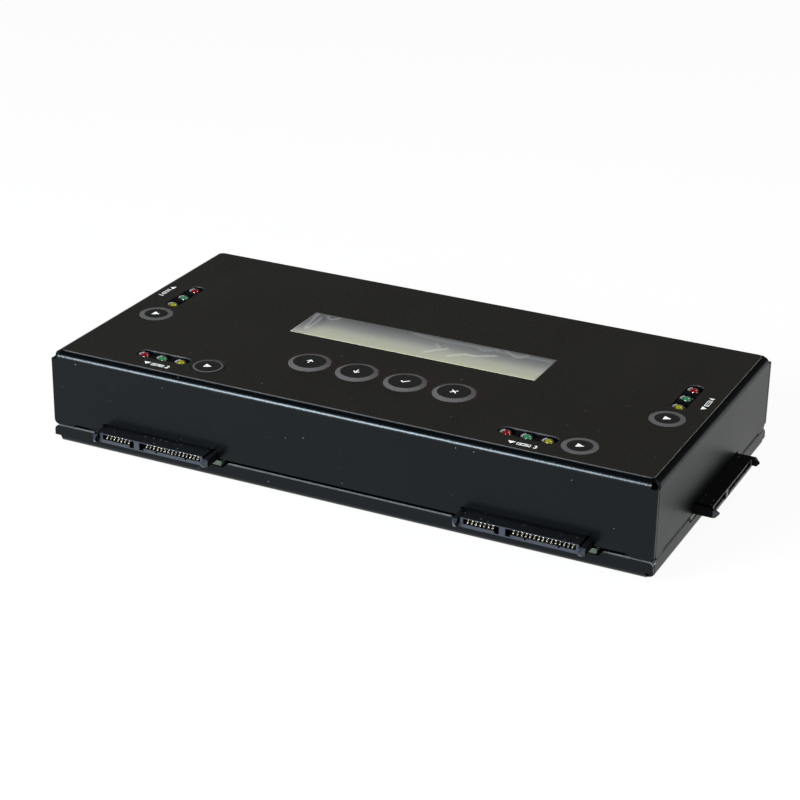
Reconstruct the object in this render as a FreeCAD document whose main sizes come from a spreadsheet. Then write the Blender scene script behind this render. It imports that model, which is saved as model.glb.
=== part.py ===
import FreeCAD, Part
import math
import os
import re
import Sketcher
from FreeCAD import Placement, Rotation, Vector

# Hard drive eraser: a flat desk unit with four drive receptacles, a display and eight keys.
# Millimetres. X runs along the case, -Y is the front with two receptacles, Z is up.
# The origin is on the desk under the middle of everything that stands out.

SIZES = {
    # Folded steel case
    "case_length": 196,
    "case_depth": 101,
    "case_height": 30,
    "sheet": 1,
    "bend_radius": 2.2,
    "tray_wall": 5.5,
    "seam_gap": 0.4,
    "corner_gap": 0.35,
    "wall_rounding": 1.6,
    "edge_lift": 0.9,
    "edge_slope": 1.4,
    "edge_inset": 6.5,
    # Feet, columns and screws
    "foot_width": 10,
    "foot_taper": 0.6,
    "foot_height": 2.5,
    "foot_inset_x": 20,
    "foot_inset_y": 14,
    "column_inset": 9,
    "column_flats": 5.5,
    "thread": 2.9,
    "thread_length": 5,
    "tap_slack": 0.05,
    "hole_slack": 0.2,
    "screw_head": 5.6,
    "screw_head_height": 1.7,
    "screw_grip": 6,
    "spacer_width": 5,
    "spacer_height": 3.4,
    # Circuit boards
    "board_sheet": 1.6,
    "board_gap": 4.5,
    # Drive receptacles
    "contact_pitch": 1.27,
    "contact_width": 0.45,
    "contact_sheet": 0.2,
    "contact_bow": 0.95,
    "contact_ramp": 1,
    "contact_recess": 0.5,
    "contact_tail": 1.2,
    "contact_gap": 0.2,
    "port_inset": 38,
    "port_side_shift": 2,
    "port_reach": 5.2,
    "port_root": 7.5,
    "port_height": 3,
    "port_end": 2.1,
    "port_headroom": 0.5,
    "port_slack": 0.15,
    "slot_end": 1.2,
    "slot_roof": 0.4,
    "slot_height": 1.6,
    "slot_depth": 6,
    "slot_lead_in": 0.12,
    "relief_width": 0.6,
    "relief_depth": 0.45,
    "key_gap": 0.75,
    "key_width": 1.45,
    "key_floor": 0.3,
    "arm_gap": 0.5,
    "arm_width": 1.6,
    "arm_low": 0.3,
    "arm_height": 2.3,
    "arm_web": 0.9,
    "arm_reach": 2.2,
    "arm_point": 0.4,
    "arm_taper": 1.6,
    "arm_undercut": 0.9,
    "tab_side": 1.1,
    "tab_setback": 0.2,
    "notch_side": 0.8,
    "notch_slope": 1.3,
    "notch_gap": 0.2,
    # Panel overlay and display
    "overlay_sheet": 0.25,
    "overlay_inset": 2.2,
    "overlay_corner": 1.5,
    "window_length": 83,
    "window_depth": 17.6,
    "window_shift": 6.2,
    "window_slack": 0.1,
    "window_lip": 2,
    "window_lip_sheet": 0.6,
    "peel_sheet": 0.1,
    "bezel_length": 99,
    "bezel_depth": 24,
    "bezel_height": 6.2,
    "bezel_sheet": 0.5,
    "bezel_gap": 0.2,
    "bezel_slack": 0.5,
    "view_margin": 0.5,
    "glass_sheet": 2.2,
    "glass_slack": 0.3,
    "display_board_length": 116,
    "display_board_depth": 37,
    "display_hole_inset": 3.5,
    "rivet_pin": 2.6,
    "rivet_collar": 5,
    "rivet_head": 1,
    "pin_width": 0.64,
    "pin_pitch": 2.54,
    "display_pin_inset": 2.5,
    # Keys and their switches
    "menu_key_width": 13.1,
    "menu_disc_width": 10.1,
    "menu_disc_rise": 0.45,
    "menu_key_slack": 0.25,
    "menu_key_spacing": 2.9,
    "menu_key_shift": 22,
    "start_key_width": 10.7,
    "start_disc_width": 7.5,
    "start_disc_rise": 0.15,
    "start_key_slack": 0.15,
    "key_lip": 0.8,
    "key_stop": 0.2,
    "switch_width": 6,
    "switch_height": 2.4,
    "plunger_width": 3.3,
    "plunger_slack": 0.1,
    "plunger_proud": 0.8,
    "plunger_depth": 1,
    "plunger_room": 0.45,
    # Lamps
    "lamp_width": 3,
    "lamp_height": 5.65,
    "lamp_rim": 3.8,
    "lamp_rim_height": 1.9,
    "lamp_proud": 0.1,
    "front_lamp_pitch": 6.4,
    "side_lamp_pitch": 6.8,
    "lamp_hole": 5,
    "lamp_collar": 4.5,
    "collar_height": 1.2,
    "collar_slack": 0.05,
    "lug_angle": 70,
    "lug_setback": 0.25,
    "lamp_slot_end": 2.75,
    "lamp_slot_width": 5.2,
    "front_group_inset": 11.7,
    "front_lamp_shift": 5.2,
    "front_key_shift": 10.4,
    "side_group_inset": 12.3,
    "side_lamp_shift": 7.4,
    "side_key_shift": 10,
    # Power inlet and rear switch
    "jack_inset": 36,
    "jack_width": 9,
    "jack_depth": 13.5,
    "jack_height": 11,
    "jack_axis": 6.5,
    "jack_bore": 6.3,
    "jack_bore_depth": 10,
    "jack_pin": 2.1,
    "jack_pin_setback": 1,
    "jack_gap": 0.2,
    "jack_hole": 8.4,
    "rocker_inset": 62,
    "rocker_lift": 7.5,
    "rocker_rim": 1.6,
    "rocker_rim_edge": 0.9,
    "rocker_body_length": 13.2,
    "rocker_body_height": 8.8,
    "rocker_body_depth": 11,
    "rocker_body_slack": 0.1,
    "rocker_well_wall": 1,
    "rocker_well_depth": 5.5,
    "rocker_length": 9.8,
    "rocker_side_gap": 0.25,
    "rocker_tilt": 10,
    "rocker_face": 1.6,
    "rocker_skirt": 2.6,
    "rocker_hub": 3.2,
    "rocker_pin": 2,
    "rocker_pin_length": 0.7,
    "rocker_pin_slack": 0.05,
    "rocker_pivot_depth": 1.2,
    "blade_width": 3.2,
    "blade_sheet": 0.6,
    "blade_length": 4.5,
    "blade_pitch": 6,
    "lead_width": 1.4,
    "lead_run": 2.5,
    "lead_bend": 4.2,
    # Parts on the main board
    "chip_width": 20,
    "chip_height": 1.5,
    "chip_spacing": 46,
    "chip_inset": 44.5,
    "stage_gap": 3,
    "coil_width": 10,
    "coil_height": 5,
    "coil_inset": 28.5,
    "capacitor_width": 8,
    "capacitor_height": 11.5,
    "capacitor_inset": 14.5,
    "buzzer_width": 12,
    "buzzer_height": 9.5,
    "buzzer_hole": 2,
    "buzzer_side_inset": 28,
    "buzzer_inset": 20.5,
    "link_side_inset": 48,
    "link_inset": 12.5,
    "link_width": 5.08,
    "link_socket_height": 8.5,
    "link_groove": 0.9,
    "link_engage": 6,
    "link_header_height": 2.5,
}
SIGNAL_CONTACTS = 7
POWER_CONTACTS = 15
SKIPPED_PITCHES = 4
LINK_PINS = 10
DISPLAY_PINS = 16
POWER_STAGES = 4
LAMP_ROWS = {"red": 1, "green": 0, "yellow": -1}
LUG_TURN = 130
SIDES = (-1, 1)

doc = FreeCAD.newDocument("hard_drive_eraser")
sheet = doc.addObject("Spreadsheet::Sheet", "Sizes")
for row, (name, number) in enumerate(SIZES.items(), 1):
    sheet.set(f"A{row}", name)
    sheet.set(f"B{row}", str(number))
    sheet.setAlias(f"B{row}", name)
doc.recompute()

# Lines and levels that several pieces share, as formulas of the sheet's cells
HALF_LENGTH = "(case_length / 2)"
HALF_DEPTH = "(case_depth / 2)"
ROCKER_TIP = "(rocker_face + rocker_length / 2 * tan(rocker_tilt))"
PIVOT_REACH = "(rocker_rim - rocker_pivot_depth)"
REAR_REACH = (f"({PIVOT_REACH} + {ROCKER_TIP} * cos(rocker_tilt)"
              " + rocker_length / 2 * sin(rocker_tilt))")
MIDDLE = f"((port_reach + arm_reach - {REAR_REACH}) / 2)"
FRONT = f"({MIDDLE} - {HALF_DEPTH})"
REAR = f"({MIDDLE} + {HALF_DEPTH})"

TRAY_LOW = "foot_height"
FLOOR = "(foot_height + sheet)"
TRAY_TOP = "(foot_height + tray_wall)"
COVER_LOW = f"({TRAY_TOP} + seam_gap)"
CASE_TOP = "(foot_height + case_height)"
COVER_UNDER = f"({CASE_TOP} - sheet)"
FACE = f"({CASE_TOP} + overlay_sheet)"
BOARD_LOW = f"({FLOOR} + spacer_height)"
BOARD_TOP = f"({BOARD_LOW} + board_sheet)"
PANEL_TOP = f"({FACE} + lamp_proud - lamp_height)"
PANEL_LOW = f"({PANEL_TOP} - board_sheet)"
BEZEL_TOP = f"({COVER_UNDER} - window_lip_sheet - bezel_gap)"
DISPLAY_TOP = f"({BEZEL_TOP} - bezel_height)"
DISPLAY_LOW = f"({DISPLAY_TOP} - board_sheet)"
KEY_LOW = f"({PANEL_TOP} + switch_height + plunger_proud)"
KEY_LIP_TOP = f"({COVER_UNDER} - key_stop)"

CONTACT_HALF = f"({(SIGNAL_CONTACTS + POWER_CONTACTS + SKIPPED_PITCHES - 1) / 2} * contact_pitch)"
PORT_HALF = f"({CONTACT_HALF} + port_end)"
ARM_HALF = f"({PORT_HALF} + arm_gap + arm_width)"
TAB_HALF = f"({ARM_HALF} + tab_side)"
PORT_X = f"({HALF_LENGTH} - port_inset)"
PORT_SIDE_Y = f"({MIDDLE} + port_side_shift)"
DISPLAY_Y = f"({MIDDLE} + window_shift)"
COLUMN_X = f"({HALF_LENGTH} - column_inset)"
COLUMN_Y = f"({HALF_DEPTH} - column_inset)"
SCREW_HOLE = "(thread + 2 * hole_slack)"
TAPPED_HOLE = "(thread + 2 * tap_slack)"


def formula(text):
    """The text with each size's name turned into a reference to its cell."""
    def reference(word):
        return f"Sizes.{word[0]}" if word[0] in SIZES else word[0]

    return re.sub(r"[a-z][a-z_]*", reference, str(text))


def size(text):
    return float(sheet.evalExpression(formula(text)))


def bind(piece, **texts):
    for name, text in texts.items():
        piece.setExpression(name, formula(text))


def place(piece, x=0, y=0, z=0):
    for axis, text in zip("xyz", (x, y, z)):
        piece.setExpression(f"Placement.Base.{axis}", formula(text))


def new(kind, label):
    return doc.addObject(kind, label)


def block(label, long, deep, tall, x, y, z):
    """Box centred on x and y, standing on z."""
    piece = new("Part::Box", label)
    bind(piece, Length=long, Width=deep, Height=tall)
    place(piece, f"{x} - ({long}) / 2", f"{y} - ({deep}) / 2", z)
    return piece


def rod(label, across, tall, x, y, z, along=None):
    """Cylinder from x, y, z along a direction, upward where none is given."""
    piece = new("Part::Cylinder", label)
    if along:
        piece.Placement.Rotation = Rotation(Vector(0, 0, 1), Vector(along))
    bind(piece, Radius=f"({across}) / 2", Height=tall)
    place(piece, x, y, z)
    return piece


def joined(label, *pieces):
    result = new("Part::MultiFuse", label)
    result.Shapes = pieces
    return result


def cut(label, base, *tools):
    result = new("Part::Cut", label)
    result.Base = base
    result.Tool = tools[0] if len(tools) == 1 else joined(f"{label}_tools", *tools)
    return result


def group(label, pieces):
    """Separate solids that share one node."""
    result = new("Part::Compound", label)
    result.Links = pieces
    return result


def sketch(part, role, lift=0):
    """Empty sketch on one of the body's own planes, lifted along the plane's normal."""
    drawing = part.newObject("Sketcher::SketchObject", f"{part.Label}_sketch")
    plane = next(f for f in part.Origin.OriginFeatures if f.Role == role)
    drawing.AttachmentSupport = [(plane, "")]
    drawing.MapMode = "FlatFace"
    drawing.setExpression("AttachmentOffset.Base.z", formula(lift))
    return drawing


def dimension(drawing, kind, ends, text):
    k = drawing.addConstraint(Sketcher.Constraint(kind, *ends, size(text)))
    drawing.setExpression(f"Constraints[{k}]", formula(text))


def pin_point(drawing, geometry, point, x, y):
    """Fix a point of the drawing by its distances from the origin."""
    dimension(drawing, "DistanceX", (-1, 1, geometry, point), x)
    dimension(drawing, "DistanceY", (-1, 1, geometry, point), y)


def outline(drawing, points):
    """Closed outline of straight lines through the points."""
    corners = [Vector(size(x), size(y)) for x, y in points]
    ahead = corners[1:] + corners[:1]
    lines = [drawing.addGeometry(Part.LineSegment(a, b)) for a, b in zip(corners, ahead)]
    for line, follower in zip(lines, lines[1:] + lines[:1]):
        drawing.addConstraint(Sketcher.Constraint("Coincident", line, 2, follower, 1))
    for line, (x, y) in zip(lines, points):
        pin_point(drawing, line, 1, x, y)


def rectangle(drawing, x, y, wide, tall):
    """Rectangle centred on x, y."""
    left, right = (f"{x} {sign} ({wide}) / 2" for sign in "-+")
    low, high = (f"{y} {sign} ({tall}) / 2" for sign in "-+")
    outline(drawing, [(left, low), (right, low), (right, high), (left, high)])


def circle(drawing, x, y, across):
    centre = Vector(size(x), size(y))
    ring = drawing.addGeometry(Part.Circle(centre, Vector(0, 0, 1), size(across) / 2))
    dimension(drawing, "Diameter", (ring,), across)
    pin_point(drawing, ring, 3, x, y)


def stadium(drawing, x, y, long, wide, upright):
    """Slot with round ends, centred on x, y."""
    reach = f"(({long}) - ({wide})) / 2"
    ends = [(x, f"{y} {s} {reach}") if upright else (f"{x} {s} {reach}", y) for s in "-+"]
    turn = math.pi / 2 if upright else 0
    start = (turn + math.pi / 2, turn - math.pi / 2)
    arcs = []
    for (cx, cy), angle in zip(ends, start):
        ring = Part.Circle(Vector(size(cx), size(cy)), Vector(0, 0, 1), size(wide) / 2)
        arcs.append(drawing.addGeometry(Part.ArcOfCircle(ring, angle, angle + math.pi)))
    first, second = (drawing.Geometry[arc] for arc in arcs)
    lines = [
        drawing.addGeometry(Part.LineSegment(first.EndPoint, second.StartPoint)),
        drawing.addGeometry(Part.LineSegment(second.EndPoint, first.StartPoint)),
    ]
    for line, before, after in ((lines[0], *arcs), (lines[1], *arcs[::-1])):
        drawing.addConstraint(Sketcher.Constraint("Tangent", before, 2, line, 1))
        drawing.addConstraint(Sketcher.Constraint("Tangent", line, 2, after, 1))
    for arc, (cx, cy) in zip(arcs, ends):
        dimension(drawing, "Radius", (arc,), f"({wide}) / 2")
        pin_point(drawing, arc, 3, cx, cy)


def body(label):
    return new("PartDesign::Body", label)


def pad(part, drawing, tall):
    feature = part.newObject("PartDesign::Pad", f"{part.Label}_pad")
    feature.Profile = drawing
    bind(feature, Length=tall)
    doc.recompute()
    return feature


def pocket(part, drawing, deep=None):
    """Cut against the drawing's normal, or both ways through everything where no depth is given."""
    before = part.Shape.Volume
    feature = part.newObject("PartDesign::Pocket", f"{part.Label}_pocket")
    feature.Profile = drawing
    if deep is None:
        feature.Type = "ThroughAll"
        feature.SideType = "Symmetric"
    else:
        bind(feature, Length=deep)
    doc.recompute()
    if part.Shape.Volume >= before:
        raise RuntimeError(f"a pocket of {part.Label} cuts nothing")
    return feature


def edge_names(part, chosen):
    return [f"Edge{k}" for k, edge in enumerate(part.Shape.Edges, 1) if chosen(edge)]


def at_level(edge, level):
    return all(abs(v.Z - size(level)) < 1e-6 for v in edge.Vertexes)


def fillet(part, base, names, radius):
    feature = part.newObject("PartDesign::Fillet", f"{part.Label}_fillet")
    feature.Base = (base, names)
    bind(feature, Radius=radius)
    doc.recompute()
    return feature


def folded_box(part, low, high, fold, rim):
    """Box folded from one sheet: rounded at the fold level, open at the rim level, slit at its corners."""
    plan = sketch(part, "XY_Plane", low)
    rectangle(plan, 0, MIDDLE, "case_length", "case_depth")
    solid = pad(part, plan, f"{high} - {low}")
    rounding = fillet(part, solid, edge_names(solid, lambda edge: at_level(edge, fold)), "bend_radius")
    open_face = next(
        f"Face{k}" for k, face in enumerate(rounding.Shape.Faces, 1)
        if all(abs(v.Z - size(rim)) < 1e-6 for v in face.Vertexes)
    )
    shell = part.newObject("PartDesign::Thickness", f"{part.Label}_shell")
    shell.Base = (rounding, [open_face])
    shell.Reversed = True
    bind(shell, Value="sheet")
    doc.recompute()

    upper = high if fold == high else f"({fold} + bend_radius)"
    reliefs = sketch(part, "XY_Plane", upper)
    slits = sketch(part, "XY_Plane", high)
    for sx in SIDES:
        for sy in SIDES:
            y = f"{MIDDLE} + ({sy}) * {HALF_DEPTH}"
            rectangle(reliefs, f"({sx}) * {HALF_LENGTH}", y, "2 * bend_radius", "2 * bend_radius")
            slit_y = f"{MIDDLE} + ({sy}) * ({HALF_DEPTH} - sheet - corner_gap / 2)"
            rectangle(slits, f"({sx}) * {HALF_LENGTH}", slit_y, "2 * sheet", "corner_gap")
    pocket(part, reliefs, "bend_radius")
    last = pocket(part, slits, f"{high} - {low}")

    corner_edges = edge_names(
        last, lambda edge: at_level(edge, rim) and abs(edge.Length - size("sheet")) < 1e-6
    )
    fillet(part, last, corner_edges, "wall_rounding")


def start_keys():
    """Middles of the four start keys, in the order of their receptacles."""
    side_y = f"({MIDDLE} - side_key_shift)"
    side_x = f"({HALF_LENGTH} - side_group_inset)"
    front_y = f"({FRONT} + front_group_inset)"
    return [
        (f"(-{side_x})", side_y),
        (f"(front_key_shift - {PORT_X})", front_y),
        (f"({PORT_X} + front_key_shift)", front_y),
        (side_x, side_y),
    ]


def menu_keys():
    """Middles of the row of four menu keys."""
    pitch = "(menu_key_width + menu_key_spacing)"
    y = f"({MIDDLE} - menu_key_shift)"
    return [(f"({steps} * {pitch})", y) for steps in (-1.5, -0.5, 0.5, 1.5)]


def lamp_slots():
    """Middle of each receptacle's lamp slot, and whether the slot runs along Y."""
    side_y = f"({MIDDLE} + side_lamp_shift)"
    side_x = f"({HALF_LENGTH} - side_group_inset)"
    front_y = f"({FRONT} + front_group_inset)"
    return [
        (f"(-{side_x})", side_y, True),
        (f"(-{PORT_X} - front_lamp_shift)", front_y, False),
        (f"({PORT_X} - front_lamp_shift)", front_y, False),
        (side_x, side_y, True),
    ]


def lamp_places(colour):
    """Middle of the lamp of that colour in each slot."""
    steps = LAMP_ROWS[colour]
    return [
        (x, f"({y} + ({steps}) * side_lamp_pitch)") if upright
        else (f"({x} - ({steps}) * front_lamp_pitch)", y)
        for x, y, upright in lamp_slots()
    ]


def panel_openings(drawing):
    """Openings that the cover and the overlay share."""
    rectangle(drawing, 0, DISPLAY_Y, "window_length", "window_depth")
    for x, y in menu_keys():
        circle(drawing, x, y, "menu_key_width + 2 * menu_key_slack")
    for x, y in start_keys():
        circle(drawing, x, y, "start_key_width + 2 * start_key_slack")


def columns():
    return [(f"({sx}) * {COLUMN_X}", f"({MIDDLE} + ({sy}) * {COLUMN_Y})") for sx in SIDES for sy in SIDES]


def lifted_edge(part, role, middle, half):
    """Raise the cover's lower edge between its corners, on the two walls that the plane cuts."""
    drawing = sketch(part, role)
    inner = f"({half} - edge_inset)"
    top = f"{COVER_LOW} + edge_lift"
    outline(drawing, [
        (f"{middle} - {inner}", f"{COVER_LOW} - sheet"),
        (f"{middle} + {inner}", f"{COVER_LOW} - sheet"),
        (f"{middle} + {inner}", COVER_LOW),
        (f"{middle} + {inner} - edge_slope", top),
        (f"{middle} - {inner} + edge_slope", top),
        (f"{middle} - {inner}", COVER_LOW),
    ])
    pocket(part, drawing)


def top_cover():
    part = body("top_cover")
    folded_box(part, COVER_LOW, CASE_TOP, fold=CASE_TOP, rim=COVER_LOW)
    lifted_edge(part, "XZ_Plane", 0, HALF_LENGTH)
    lifted_edge(part, "YZ_Plane", MIDDLE, HALF_DEPTH)

    opening = f"2 * ({ARM_HALF} + port_slack)"
    above = f"({BOARD_TOP} + port_height + port_headroom - {COVER_LOW})"
    front_ports = sketch(part, "XZ_Plane", f"-{FRONT}")
    for side in SIDES:
        rectangle(front_ports, f"({side}) * {PORT_X}", COVER_LOW, opening, f"2 * {above}")
    pocket(part, front_ports, "2 * sheet")
    side_ports = sketch(part, "YZ_Plane")
    rectangle(side_ports, PORT_SIDE_Y, COVER_LOW, opening, f"2 * {above}")
    pocket(part, side_ports)

    rear = sketch(part, "XZ_Plane", f"2 * sheet - {REAR}")
    circle(rear, f"{HALF_LENGTH} - jack_inset", f"{BOARD_TOP} + jack_axis", "jack_hole")
    rectangle(
        rear, f"{HALF_LENGTH} - rocker_inset", f"{BOARD_TOP} + rocker_lift",
        "rocker_body_length + 2 * rocker_body_slack", "rocker_body_height + 2 * rocker_body_slack",
    )
    pocket(part, rear, "3 * sheet")

    panel = sketch(part, "XY_Plane", CASE_TOP)
    panel_openings(panel)
    for colour in LAMP_ROWS:
        for x, y in lamp_places(colour):
            circle(panel, x, y, "lamp_hole")
    pocket(part, panel, "2 * sheet")
    return part


def bottom_tray():
    part = body("bottom_tray")
    folded_box(part, TRAY_LOW, TRAY_TOP, fold=TRAY_LOW, rim=TRAY_TOP)

    def notch(drawing, middle):
        half = f"({TAB_HALF} + notch_side)"
        low = f"({BOARD_LOW} - notch_gap)"
        outline(drawing, [
            (f"{middle} - {half}", low),
            (f"{middle} + {half}", low),
            (f"{middle} + {half} + notch_slope", TRAY_TOP),
            (f"{middle} + {half} + notch_slope", f"{TRAY_TOP} + sheet"),
            (f"{middle} - {half} - notch_slope", f"{TRAY_TOP} + sheet"),
            (f"{middle} - {half} - notch_slope", TRAY_TOP),
        ])

    front = sketch(part, "XZ_Plane", f"-{FRONT}")
    for side in SIDES:
        notch(front, f"({side}) * {PORT_X}")
    pocket(part, front, "2 * sheet")
    sides = sketch(part, "YZ_Plane")
    notch(sides, PORT_SIDE_Y)
    pocket(part, sides)

    holes = sketch(part, "XY_Plane", FLOOR)
    for x, y in columns():
        circle(holes, x, y, SCREW_HOLE)
    pocket(part, holes, "2 * sheet")
    return part


def panel_overlay():
    part = body("panel_overlay")
    plan = sketch(part, "XY_Plane", CASE_TOP)
    rectangle(plan, 0, MIDDLE, "case_length - 2 * overlay_inset", "case_depth - 2 * overlay_inset")
    panel_openings(plan)
    for x, y, upright in lamp_slots():
        pitch = "side_lamp_pitch" if upright else "front_lamp_pitch"
        stadium(plan, x, y, f"2 * ({pitch} + lamp_slot_end)", "lamp_slot_width", upright)
    film = pad(part, plan, "overlay_sheet")
    reach = size("case_length / 2 - overlay_inset")
    corners = edge_names(
        film,
        lambda edge: abs(edge.Length - size("overlay_sheet")) < 1e-6
        and all(abs(abs(v.X) - reach) < 1e-6 for v in edge.Vertexes),
    )
    fillet(part, film, corners, "overlay_corner")
    return part


def main_board():
    """Board on the tray with four tabs that reach out under the receptacles."""
    part = body("main_board")
    edge_x = f"({HALF_LENGTH} - sheet - board_gap)"
    edge_y = f"({HALF_DEPTH} - sheet - board_gap)"
    plan = sketch(part, "XY_Plane", BOARD_LOW)
    rectangle(plan, 0, MIDDLE, f"2 * {edge_x}", f"2 * {edge_y}")
    pad(part, plan, "board_sheet")
    tabs = sketch(part, "XY_Plane", BOARD_LOW)
    reach = "2 * (sheet + board_gap - tab_setback)"
    for side in SIDES:
        rectangle(tabs, f"({side}) * {PORT_X}", f"{MIDDLE} - {edge_y}", f"2 * {TAB_HALF}", reach)
        rectangle(tabs, f"({side}) * {edge_x}", PORT_SIDE_Y, reach, f"2 * {TAB_HALF}")
    pad(part, tabs, "board_sheet")
    holes = sketch(part, "XY_Plane", BOARD_TOP)
    for x, y in columns():
        circle(holes, x, y, SCREW_HOLE)
    pocket(part, holes, "2 * board_sheet")
    return part


def panel_board():
    """Board under the cover, open where the display stands through it."""
    part = body("panel_board")
    plan = sketch(part, "XY_Plane", PANEL_LOW)
    inset = "(sheet + board_gap)"
    rectangle(plan, 0, MIDDLE, f"case_length - 2 * {inset}", f"case_depth - 2 * {inset}")
    rectangle(plan, 0, DISPLAY_Y, "bezel_length + 2 * bezel_slack", "bezel_depth + 2 * bezel_slack")
    for x, y in columns():
        circle(plan, x, y, SCREW_HOLE)
    for x, y in display_rivet_places():
        circle(plan, x, y, "rivet_pin + 2 * tap_slack")
    pad(part, plan, "board_sheet")
    return part


def display_rivet_places():
    half_x = "(display_board_length / 2 - display_hole_inset)"
    half_y = "(display_board_depth / 2 - display_hole_inset)"
    return [(f"({sx}) * {half_x}", f"{DISPLAY_Y} + ({sy}) * {half_y}") for sx in SIDES for sy in SIDES]


def display_board():
    part = body("display_board")
    plan = sketch(part, "XY_Plane", DISPLAY_LOW)
    rectangle(plan, 0, DISPLAY_Y, "display_board_length", "display_board_depth")
    for x, y in display_rivet_places():
        circle(plan, x, y, "rivet_pin + 2 * tap_slack")
    pad(part, plan, "board_sheet")
    return part


def display_rivets():
    """Nylon rivets that hang the display board under the panel board."""
    rivets = []
    for k, (x, y) in enumerate(display_rivet_places()):
        shank_low = f"({DISPLAY_LOW} - rivet_head)"
        shank = f"{PANEL_TOP} + rivet_head - {shank_low}"
        rivets.append(joined(
            f"rivet_{k}",
            rod(f"rivet_shank_{k}", "rivet_pin", shank, x, y, shank_low),
            rod(f"rivet_foot_{k}", "rivet_collar", "rivet_head", x, y, shank_low),
            rod(f"rivet_collar_{k}", "rivet_collar", f"{PANEL_LOW} - {DISPLAY_TOP}", x, y, DISPLAY_TOP),
            rod(f"rivet_head_{k}", "rivet_collar", "rivet_head", x, y, PANEL_TOP),
        ))
    return group("display_rivets", rivets)


def display_pins():
    y = f"({DISPLAY_Y} + display_board_depth / 2 - display_pin_inset)"
    pins = []
    for k in range(DISPLAY_PINS):
        x = f"({k - (DISPLAY_PINS - 1) / 2} * pin_pitch)"
        tall = f"{PANEL_LOW} - {DISPLAY_TOP}"
        pins.append(block(f"display_pin_{k}", "pin_width", "pin_width", tall, x, y, DISPLAY_TOP))
    return group("display_pins", pins)


def display_bezel():
    shell = block("bezel_outside", "bezel_length", "bezel_depth", "bezel_height", 0, DISPLAY_Y, DISPLAY_TOP)
    inside = block(
        "bezel_inside", "bezel_length - 2 * bezel_sheet", "bezel_depth - 2 * bezel_sheet",
        "bezel_height - bezel_sheet", 0, DISPLAY_Y, DISPLAY_TOP,
    )
    view = block(
        "bezel_view", "window_length + 2 * view_margin", "window_depth + 2 * view_margin",
        "bezel_height", 0, DISPLAY_Y, DISPLAY_TOP,
    )
    return cut("display_bezel", shell, inside, view)


def display_glass():
    room = "2 * (bezel_sheet + glass_slack)"
    low = f"{BEZEL_TOP} - bezel_sheet - glass_sheet"
    return block(
        "display_glass", f"bezel_length - {room}", f"bezel_depth - {room}", "glass_sheet", 0, DISPLAY_Y, low
    )


def display_backlight():
    room = "2 * (bezel_sheet + glass_slack)"
    tall = "bezel_height - bezel_sheet - glass_sheet"
    return block(
        "display_backlight", f"bezel_length - {room}", f"bezel_depth - {room}", tall,
        0, DISPLAY_Y, DISPLAY_TOP,
    )


def display_window():
    """Clear window that fills the opening and is bonded under the cover by its lip."""
    long = "(window_length - 2 * window_slack)"
    deep = "(window_depth - 2 * window_slack)"
    pane_low = f"({COVER_UNDER} - window_lip_sheet)"
    pane = block("window_pane", long, deep, f"{FACE} - peel_sheet - {pane_low}", 0, DISPLAY_Y, pane_low)
    lip = block(
        "window_lip_plate", "window_length + 2 * window_lip", "window_depth + 2 * window_lip",
        "window_lip_sheet", 0, DISPLAY_Y, pane_low,
    )
    return joined("display_window", pane, lip)


def peel_film():
    long = "window_length - 2 * window_slack"
    deep = "window_depth - 2 * window_slack"
    return block("peel_film", long, deep, "peel_sheet", 0, DISPLAY_Y, f"{FACE} - peel_sheet")


def key(label, x, y, width, disc, rise):
    """Round key: a lip under the cover, a rim flush with the overlay and a raised disc."""
    part = body(label)
    profile = sketch(part, "XZ_Plane")
    lip = f"({width} / 2 + key_lip)"
    outline(profile, [
        (0, KEY_LOW),
        (lip, KEY_LOW),
        (lip, KEY_LIP_TOP),
        (f"{width} / 2", KEY_LIP_TOP),
        (f"{width} / 2", FACE),
        (f"{disc} / 2", f"{FACE} + {rise}"),
        (0, f"{FACE} + {rise}"),
    ])
    turned = part.newObject("PartDesign::Revolution", f"{label}_turned")
    turned.Profile = profile
    turned.ReferenceAxis = (profile, ["V_Axis"])
    doc.recompute()
    place(part, x, y)
    return part


def plunger(label, x, y):
    low = f"({KEY_LOW} - plunger_proud - plunger_depth)"
    return rod(label, "plunger_width", "plunger_proud + plunger_depth", x, y, low)


def key_switches(places):
    bodies = []
    for k, (x, y) in enumerate(places):
        case = block(f"switch_case_{k}", "switch_width", "switch_width", "switch_height", x, y, PANEL_TOP)
        deep = "plunger_depth + plunger_room"
        bore = rod(
            f"switch_bore_{k}", "plunger_width + 2 * plunger_slack", deep, x, y,
            f"{PANEL_TOP} + switch_height - ({deep})",
        )
        bodies.append(cut(f"switch_{k}", case, bore))
    return group("key_switches", bodies)


def lamps(colour):
    """One lamp of a colour in each slot, standing on the panel board."""
    domes = []
    for k, (x, y) in enumerate(lamp_places(colour)):
        neck = "(lamp_height - lamp_width / 2)"
        dome = new("Part::Sphere", f"{colour}_dome_{k}")
        bind(dome, Radius="lamp_width / 2")
        place(dome, x, y, f"{PANEL_TOP} + {neck}")
        domes.append(joined(
            f"{colour}_lamp_{k}",
            rod(f"{colour}_rim_{k}", "lamp_rim", "lamp_rim_height", x, y, PANEL_TOP),
            rod(f"{colour}_neck_{k}", "lamp_width", neck, x, y, PANEL_TOP),
            dome,
        ))
    return group(f"{colour}_lamps", domes)


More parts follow.
